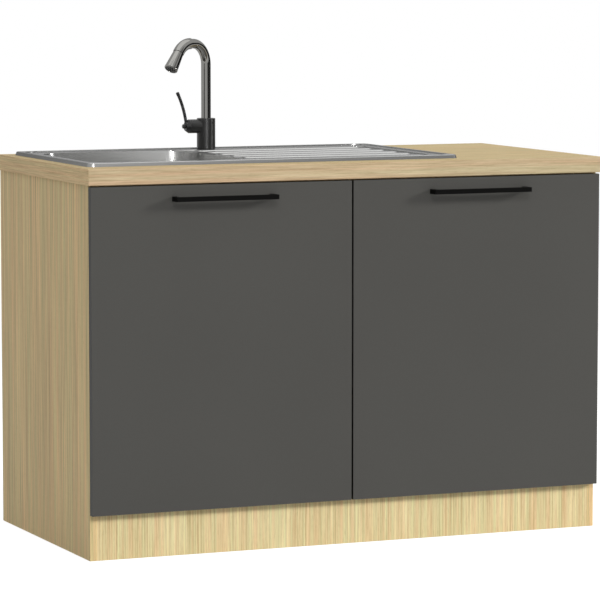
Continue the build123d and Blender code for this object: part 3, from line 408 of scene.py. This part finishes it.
coatDefaults = {
    "stretch": (1, 1, 1), "spread": (0.92, 1.06), "span": (0.3, 0.7), "metallic": 0.0, "specular": 0.4,
    "bump": 0.1, "bumpDepth": 0.0001,
}
coats = {
    "black_metal": {
        "colour": (0.0022, 0.0021, 0.0019), "grain": 900.0, "roughness": 0.55, "specular": 0.06, "bump": 0.2,
    },
    "black_tap": {
        "colour": (0.005, 0.0049, 0.0046), "grain": 900.0, "roughness": 0.38, "specular": 0.5, "bump": 0.03,
    },
    "tap_chrome": {
        "colour": (0.232, 0.229, 0.217), "grain": 300.0, "roughness": 0.03, "metallic": 1.0, "bump": 0.0,
        "spread": (0.97, 1.03), "edgeTint": (0.6, 0.6, 0.6),
    },
    "stainless": {
        "colour": (0.56, 0.56, 0.55), "grain": 900.0, "stretch": (0.02, 1, 1), "roughness": 0.25,
        "metallic": 0.88, "bump": 0.05, "edgeTint": (0.2, 0.2, 0.2),
        # Painted shade on the sink's sloping and level faces, set by their facing
        "slopeShade": ((0.1, 1.0), (0.27, 0.55), (0.5, 0.58), (0.9, 0.74)),
    },
    "steel_polished": {
        "colour": (0.55, 0.55, 0.54), "grain": 500.0, "roughness": 0.16, "metallic": 1.0, "bump": 0.02,
    },
    "zinc": {
        "colour": (0.52, 0.53, 0.55), "grain": 350.0, "roughness": 0.34, "metallic": 1.0,
        "spread": (0.8, 1.1),
    },
    "nickel": {"colour": (0.55, 0.54, 0.52), "grain": 350.0, "roughness": 0.22, "metallic": 1.0},
    "brass": {"colour": (0.55, 0.40, 0.16), "grain": 350.0, "roughness": 0.3, "metallic": 1.0},
    "white_plastic": {
        "colour": (0.80, 0.80, 0.78), "grain": 260.0, "roughness": 0.42, "spread": (0.97, 1.02),
    },
    "block_plastic": {"colour": (0.60, 0.53, 0.40), "grain": 260.0, "roughness": 0.5},
    "black_rubber": {"colour": (0.02, 0.02, 0.02), "grain": 600.0, "roughness": 0.75},
    "seal_foam": {"colour": (0.08, 0.08, 0.08), "grain": 900.0, "roughness": 0.9},
    "pad_clear": {"colour": (0.62, 0.62, 0.60), "grain": 260.0, "roughness": 0.35},
    "black_plastic": {"colour": (0.016, 0.016, 0.016), "grain": 500.0, "roughness": 0.45},
    "cartridge": {"colour": (0.35, 0.35, 0.35), "grain": 500.0, "roughness": 0.5},
    "hardboard": {"colour": (0.72, 0.69, 0.62), "grain": 700.0, "roughness": 0.7, "spread": (0.95, 1.03)},
}
# The edge colour is painted shade for the door's edges, far darker than the face
doorLook = {
    "pale": (0.0820, 0.0800, 0.0735), "deep": (0.0735, 0.0715, 0.0655), "edge": (0.008, 0.0078, 0.0065),
    "peel": (420.0, 2.0, 0.5), "cloud": (3.0, 1.0, 0.5), "share": 0.5, "span": (0.3, 0.7),
    "faceLimit": 0.75, "roughness": 0.5, "specular": 0.2, "bump": 0.12, "bumpDepth": 0.0002,
}

finishes = {name: woodLaminate(name + "Finish", look) for name, look in laminates.items()}
# Boards that lie across the unit have the same oak with its grain along their length
finishes["oak_across"] = woodLaminate("oakAcrossFinish", {**laminates["oak_board"], "along": 0})
finishes.update({name: mottled(name + "Finish", look) for name, look in coats.items()})
finishes["graphite"] = graphiteMelamine("graphiteFinish", doorLook)
print("finishes ready:", len(finishes))


# Finished copies of the CAD pieces: welded, smooth where they are round, with softened edges
edgeWidths = {
    "side_panel_left": 0.5, "side_panel_right": 0.5, "bottom_panel": 0.4, "plinth_board": 0.4,
    "front_rail": 0.4, "rear_rail": 0.4, "back_panel": 0.2, "worktop": 0.8, "worktop_brackets": 0.4,
    "joint_blocks": 0.8, "door_left": 0.7, "door_right": 0.7, "handle_left": 0.5, "handle_right": 0.5,
    "sink": 0.3, "tap_body": 0.5, "lever_hub": 0.4, "lever": 0.25, "spray_nozzle": 0.4,
    "waste_flange": 0.3, "strainer_basket": 0.2, "sink_clamps": 0.3, "hinge_plates": 0.4, "hinge_arms": 0.4,
    "hinge_cups_left": 0.2, "hinge_cups_right": 0.2,
}
copies = {"weld": 1e-6, "flat": 0.4, "round": 32.0, "sides": 3}
boardsAcross = ("bottom_panel", "front_rail", "rear_rail")


def finishedCopy(nodeName):
    mesh = nodes[nodeName].data.copy()
    shape = bmesh.new()
    shape.from_mesh(mesh)
    bmesh.ops.remove_doubles(shape, verts=shape.verts, dist=copies["weld"])
    flat = math.radians(copies["flat"])
    bmesh.ops.dissolve_limit(shape, angle_limit=flat, verts=shape.verts, edges=shape.edges)
    shape.to_mesh(mesh)
    shape.free()
    mesh.shade_smooth()
    mesh.set_sharp_from_angle(angle=math.radians(copies["round"]))
    piece = bpy.data.objects.new(nodeName + "_finished", mesh)
    bpy.context.collection.objects.link(piece)
    if nodeName in edgeWidths:
        edge = piece.modifiers.new("edges", "BEVEL")
        edge.width = edgeWidths[nodeName] / 1000
        edge.segments = copies["sides"]
        edge.limit_method = "ANGLE"
        edge.angle_limit = math.radians(copies["round"])
        edge.harden_normals = True
    mesh.materials.clear()
    finish = "oak_across" if nodeName in boardsAcross else slotOf[nodeName]
    mesh.materials.append(finishes[finish])
    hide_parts(nodeName)
    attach(piece, bodyOf[nodeName])
    return piece


for nodeName in nodes:
    finishedCopy(nodeName)
print("finished copies:", len(nodes))


# Screws, nails and grip ribs: one shape each, repeated by Geometry Nodes
def newTree(name, sizes):
    tree = bpy.data.node_groups.new(name, "GeometryNodeTree")
    face = tree.interface
    face.new_socket("Geometry", in_out="INPUT", socket_type="NodeSocketGeometry")
    for label, kind in sizes.items():
        face.new_socket(label, in_out="INPUT", socket_type="NodeSocket" + kind)
    face.new_socket("Geometry", in_out="OUTPUT", socket_type="NodeSocketGeometry")
    return tree, tree.nodes.new("NodeGroupInput").outputs


def endTree(tree, instances, finish):
    solid = addNode(tree, "GeometryNodeRealizeInstances", {"Geometry": instances}).outputs[0]
    coated = addNode(tree, "GeometryNodeSetMaterial", {"Geometry": solid, "Material": finish}).outputs[0]
    addNode(tree, "NodeGroupOutput", {"Geometry": coated})


def growPiece(name, tree, base, values, slot, body):
    seedling = bpy.data.objects.new(name + "Base", base)
    bpy.context.collection.objects.link(seedling)
    grow = seedling.modifiers.new("grow", "NODES")
    grow.node_group = tree
    given = {**values, "Finish": finishes[slot]}
    for socket in tree.interface.items_tree:
        if socket.in_out == "INPUT" and socket.name in given:
            grow[socket.identifier] = given[socket.name]
    graph = bpy.context.evaluated_depsgraph_get()
    mesh = bpy.data.meshes.new_from_object(seedling.evaluated_get(graph), depsgraph=graph)
    seedling.modifiers.remove(grow)
    bpy.data.objects.remove(seedling)
    mesh.materials.clear()
    mesh.materials.append(finishes[slot])
    for polygon in mesh.polygons:
        polygon.material_index = 0
    piece = bpy.data.objects.new(name, mesh)
    bpy.context.collection.objects.link(piece)
    mesh.shade_smooth()
    mesh.set_sharp_from_angle(angle=math.radians(copies["round"]))
    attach(piece, body)
    print(name, "faces:", len(mesh.polygons))
    return piece


screws = {
    "radius": 0.0034, "height": 0.0014, "segments": 20, "rings": 10, "seed": 7,
    "recessLength": 0.0042, "recessWidth": 0.0008, "recessDepth": 0.0009,
    "plateReach": 0.0175, "cupReach": 0.024, "armInsets": (0.013, 0.044), "armSize": 1.1,
    "bracketReach": 0.009, "bracketSheet": 0.002, "bracketSpan": 0.023, "bracketSize": 1.2,
    "blockFace": 0.0045, "blockAlong": 0.010, "bevelGap": 0.003, "clampSize": 0.9,
    "handleSize": 1.22, "handleSink": 0.0009,
}


def screwTree():
    tree, given = newTree("screwHeads", {
        "Head Radius": "Float", "Head Height": "Float", "Recess Length": "Float", "Recess Width": "Float",
        "Recess Depth": "Float", "Seed": "Int", "Finish": "Material",
    })
    radius, height = given["Head Radius"], given["Head Height"]
    squash = addNode(tree, "ShaderNodeCombineXYZ", {
        "X": 1.0, "Y": 1.0, "Z": mathNode(tree, "DIVIDE", height, radius),
    }).outputs[0]
    ball = addNode(tree, "GeometryNodeMeshUVSphere", {
        "Segments": screws["segments"], "Rings": screws["rings"], "Radius": radius,
    }).outputs[0]
    dome = addNode(tree, "GeometryNodeTransform", {"Geometry": ball, "Scale": squash}).outputs[0]
    # Cut off below the seat, and a cross cut into the top
    block = mathNode(tree, "MULTIPLY", radius, 4.0)
    blockSize = addNode(tree, "ShaderNodeCombineXYZ", {"X": block, "Y": block, "Z": block}).outputs[0]
    drop = addNode(tree, "ShaderNodeCombineXYZ", {"Z": mathNode(tree, "MULTIPLY", radius, -2.0)}).outputs[0]
    under = addNode(tree, "GeometryNodeMeshCube", {"Size": blockSize}).outputs[0]
    under = addNode(tree, "GeometryNodeTransform", {"Geometry": under, "Translation": drop}).outputs[0]
    barSize = addNode(tree, "ShaderNodeCombineXYZ", {
        "X": given["Recess Length"], "Y": given["Recess Width"],
        "Z": mathNode(tree, "MULTIPLY", given["Recess Depth"], 2.0),
    }).outputs[0]
    bar = addNode(tree, "GeometryNodeMeshCube", {"Size": barSize}).outputs[0]
    rise = addNode(tree, "ShaderNodeCombineXYZ", {"Z": height}).outputs[0]
    cut = addNode(tree, "GeometryNodeMeshBoolean", {"Mesh 1": dome}, operation="DIFFERENCE")
    tree.links.new(under, cut.inputs["Mesh 2"])
    for turn in (0.0, math.pi / 2):
        arm = addNode(tree, "GeometryNodeTransform", {
            "Geometry": bar, "Translation": rise, "Rotation": (0.0, 0.0, turn),
        }).outputs[0]
        tree.links.new(arm, cut.inputs["Mesh 2"])
    way = addNode(
        tree, "GeometryNodeInputNamedAttribute", {"Name": "facing"}, data_type="FLOAT_VECTOR",
    ).outputs[0]
    size = addNode(tree, "GeometryNodeInputNamedAttribute", {"Name": "size"}, data_type="FLOAT").outputs[0]
    upright = addNode(tree, "FunctionNodeAlignRotationToVector", {"Vector": way}, axis="Z").outputs[0]
    chance = addNode(tree, "FunctionNodeRandomValue", {"Seed": given["Seed"]}, data_type="FLOAT")
    angle = mathNode(tree, "MULTIPLY", chance.outputs[1], math.pi / 2)
    spin = addNode(tree, "FunctionNodeAxisAngleToRotation", {
        "Axis": (0.0, 0.0, 1.0), "Angle": angle,
    }).outputs[0]
    turned = addNode(
        tree, "FunctionNodeRotateRotation", {0: upright, 1: spin}, rotation_space="LOCAL",
    ).outputs[0]
    heads = addNode(tree, "GeometryNodeInstanceOnPoints", {
        "Points": given["Geometry"], "Instance": cut.outputs[0], "Rotation": turned, "Scale": size,
    }).outputs[0]
    endTree(tree, heads, given["Finish"])
    return tree


def solidsOf(nodeName):
    shape = bmesh.new()
    shape.from_mesh(nodes[nodeName].data)
    bmesh.ops.remove_doubles(shape, verts=shape.verts, dist=copies["weld"])
    solids = []
    for first in shape.verts:
        if first.tag:
            continue
        first.tag = True
        reach, points = [first], []
        while reach:
            vert = reach.pop()
            points.append(vert.co.copy())
            for edge in vert.link_edges:
                other = edge.other_vert(vert)
                if not other.tag:
                    other.tag = True
                    reach.append(other)
        low = Vector(min(point[axis] for point in points) for axis in range(3))
        high = Vector(max(point[axis] for point in points) for axis in range(3))
        side = 1 if low.x + high.x > 0 else -1
        solids.append((points, low, high, (low + high) / 2, side))
    shape.free()
    return solids


def screwSpots():
    spots = {"cabinet": [], "door_left": [], "door_right": []}
    fixed = spots["cabinet"]
    for _, low, high, middle, side in solidsOf("hinge_plates"):
        inner = low.x if side > 0 else high.x
        for shift in (-screws["plateReach"], screws["plateReach"]):
            fixed.append(((inner, middle.y, middle.z + shift), (-side, 0, 0), 1.0))
    for _, low, high, middle, side in solidsOf("hinge_arms"):
        inner = low.x if side > 0 else high.x
        for inset in screws["armInsets"]:
            fixed.append(((inner, high.y - inset, middle.z), (-side, 0, 0), screws["armSize"]))
    reach, sheet, size = screws["bracketReach"], screws["bracketSheet"], screws["bracketSize"]
    for _, low, high, middle, side in solidsOf("worktop_brackets"):
        if high.x - low.x > high.y - low.y:
            board = high.x - sheet if side > 0 else low.x + sheet
            under = board - side * (screws["bracketSpan"] - reach)
            fixed.append(((board, middle.y, low.z + reach), (-side, 0, 0), size))
            fixed.append(((under, middle.y, high.z - sheet), (0, 0, -1), size))
        else:
            fixed.append(((middle.x, high.y - sheet, low.z + reach), (0, -1, 0), size))
            fixed.append(((middle.x, low.y + reach, high.z - sheet), (0, 0, -1), size))
    for points, low, high, middle, side in solidsOf("joint_blocks"):
        away, along = (2, 1) if high.y - low.y > high.z - low.z else (1, 2)
        inner, outer = (low.x, high.x) if side > 0 else (high.x, low.x)
        ends = (low[away], high[away])
        # The bevelled corner is the one with no point near it
        tip = next(
            end for end in ends
            if all(abs(p.x - inner) + abs(p[away] - end) > screws["bevelGap"] for p in points)
        )
        root = ends[0] if tip == ends[1] else ends[1]
        lean = 1 if tip > root else -1
        first, second = Vector(middle), Vector(middle)
        first.x, first[away] = inner, root + lean * screws["blockFace"]
        first[along] = middle[along] + screws["blockAlong"]
        second.x, second[away] = outer - side * screws["blockFace"], tip
        second[along] = middle[along] - screws["blockAlong"]
        way = [0, 0, 0]
        way[away] = lean
        fixed += [(tuple(first), (-side, 0, 0), 1.0), (tuple(second), tuple(way), 1.0)]
    for _, low, _, middle, _ in solidsOf("sink_clamps"):
        fixed.append(((middle.x, middle.y, low.z), (0, 0, -1), screws["clampSize"]))
    for body in ("door_left", "door_right"):
        hand = body.removeprefix("door_")
        for _, _, high, middle, _ in solidsOf("hinge_cups_" + hand):
            for shift in (-screws["cupReach"], screws["cupReach"]):
                spots[body].append(((middle.x, high.y, middle.z + shift), (0, 1, 0), 1.0))
        for _, _, high, middle, _ in solidsOf("handle_screws_" + hand):
            seat = (middle.x, high.y - screws["handleSink"], middle.z)
            spots[body].append((seat, (0, 1, 0), screws["handleSize"]))
    return spots


def spotMesh(name, spots):
    mesh = bpy.data.meshes.new(name)
    mesh.from_pydata([place for place, _, _ in spots], [], [])
    mesh.attributes.new("facing", "FLOAT_VECTOR", "POINT")
    mesh.attributes.new("size", "FLOAT", "POINT")
    for index, (_, way, share) in enumerate(spots):
        mesh.attributes["facing"].data[index].vector = way
        mesh.attributes["size"].data[index].value = share
    return mesh


heads = screwTree()
headSizes = {
    "Head Radius": screws["radius"], "Head Height": screws["height"], "Recess Length": screws["recessLength"],
    "Recess Width": screws["recessWidth"], "Recess Depth": screws["recessDepth"], "Seed": screws["seed"],
}
for body, spots in screwSpots().items():
    growPiece(body + "_screws", heads, spotMesh(body + "Spots", spots), headSizes, "zinc", body)


nails = {
    "radius": 0.0028, "height": 0.0005, "sides": 12, "pitch": 0.112, "fromEnd": 0.024, "inset": 0.008,
}


def nailTree():
    tree, given = newTree("nailRows", {
        "Head Radius": "Float", "Head Height": "Float", "Pitch": "Float",
        "Facing": "Vector", "Finish": "Material",
    })
    row = addNode(tree, "GeometryNodeMeshToCurve", {"Mesh": given["Geometry"]}).outputs[0]
    spaced = addNode(
        tree, "GeometryNodeResampleCurve", {"Curve": row, "Length": given["Pitch"]}, mode="LENGTH",
    )
    # Half of each head is sunk in the board
    depth = mathNode(tree, "MULTIPLY", given["Head Height"], 2.0)
    head = addNode(tree, "GeometryNodeMeshCylinder", {
        "Vertices": nails["sides"], "Radius": given["Head Radius"], "Depth": depth,
    }).outputs[0]
    way = addNode(tree, "FunctionNodeAlignRotationToVector", {"Vector": given["Facing"]}, axis="Z").outputs[0]
    driven = addNode(tree, "GeometryNodeInstanceOnPoints", {
        "Points": spaced.outputs[0], "Instance": head, "Rotation": way,
    }).outputs[0]
    endTree(tree, driven, given["Finish"])
    return tree


backLow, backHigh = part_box("back_panel")
reach = backHigh.x - nails["fromEnd"]
rowHeights = (backLow.z + nails["inset"], backHigh.z - nails["inset"])
rowEnds = [(side * reach, backHigh.y, height) for height in rowHeights for side in (-1, 1)]
rows = bpy.data.meshes.new("nailRows")
rows.from_pydata(rowEnds, [(0, 1), (2, 3)], [])
growPiece("back_nails", nailTree(), rows, {
    "Head Radius": nails["radius"], "Head Height": nails["height"], "Pitch": nails["pitch"],
    "Facing": (0.0, 1.0, 0.0),
}, "zinc", "cabinet")


grips = {
    "trap_inlet_nut": {"count": 20, "ring": 0.0262, "margin": 0.002},
    "trap_outlet_nut": {"count": 20, "ring": 0.0262, "margin": 0.002},
    "trap_cup": {"count": 44, "ring": 0.0411, "margin": 0.003},
}
gripRib = {"width": 0.0024, "sides": 8}


def gripTree():
    tree, given = newTree("gripRibs", {
        "Count": "Int", "Ring Radius": "Float", "Rib Width": "Float", "Rib Length": "Float",
        "Middle": "Vector", "Axis": "Vector", "Finish": "Material",
    })
    ring = addNode(tree, "GeometryNodeMeshCircle", {
        "Vertices": given["Count"], "Radius": given["Ring Radius"],
    }).outputs[0]
    radius = mathNode(tree, "MULTIPLY", given["Rib Width"], 0.5)
    rib = addNode(tree, "GeometryNodeMeshCylinder", {
        "Vertices": gripRib["sides"], "Radius": radius, "Depth": given["Rib Length"],
    }).outputs[0]
    around = addNode(tree, "GeometryNodeInstanceOnPoints", {"Points": ring, "Instance": rib}).outputs[0]
    way = addNode(tree, "FunctionNodeAlignRotationToVector", {"Vector": given["Axis"]}, axis="Z").outputs[0]
    placed = addNode(tree, "GeometryNodeTransform", {
        "Geometry": around, "Translation": given["Middle"], "Rotation": way,
    }).outputs[0]
    endTree(tree, placed, given["Finish"])
    return tree


ribs = gripTree()
for nodeName, grip in grips.items():
    low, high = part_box(nodeName)
    size = high - low
    axis = min(range(3), key=lambda index: size[index])
    growPiece(nodeName + "_grips", ribs, bpy.data.meshes.new(nodeName + "Ring"), {
        "Count": grip["count"], "Ring Radius": grip["ring"], "Rib Width": gripRib["width"],
        "Rib Length": size[axis] - 2 * grip["margin"], "Middle": (low + high) / 2,
        "Axis": tuple(1.0 if index == axis else 0.0 for index in range(3)),
    }, "white_plastic", "cabinet")
print("fasteners and grips ready")
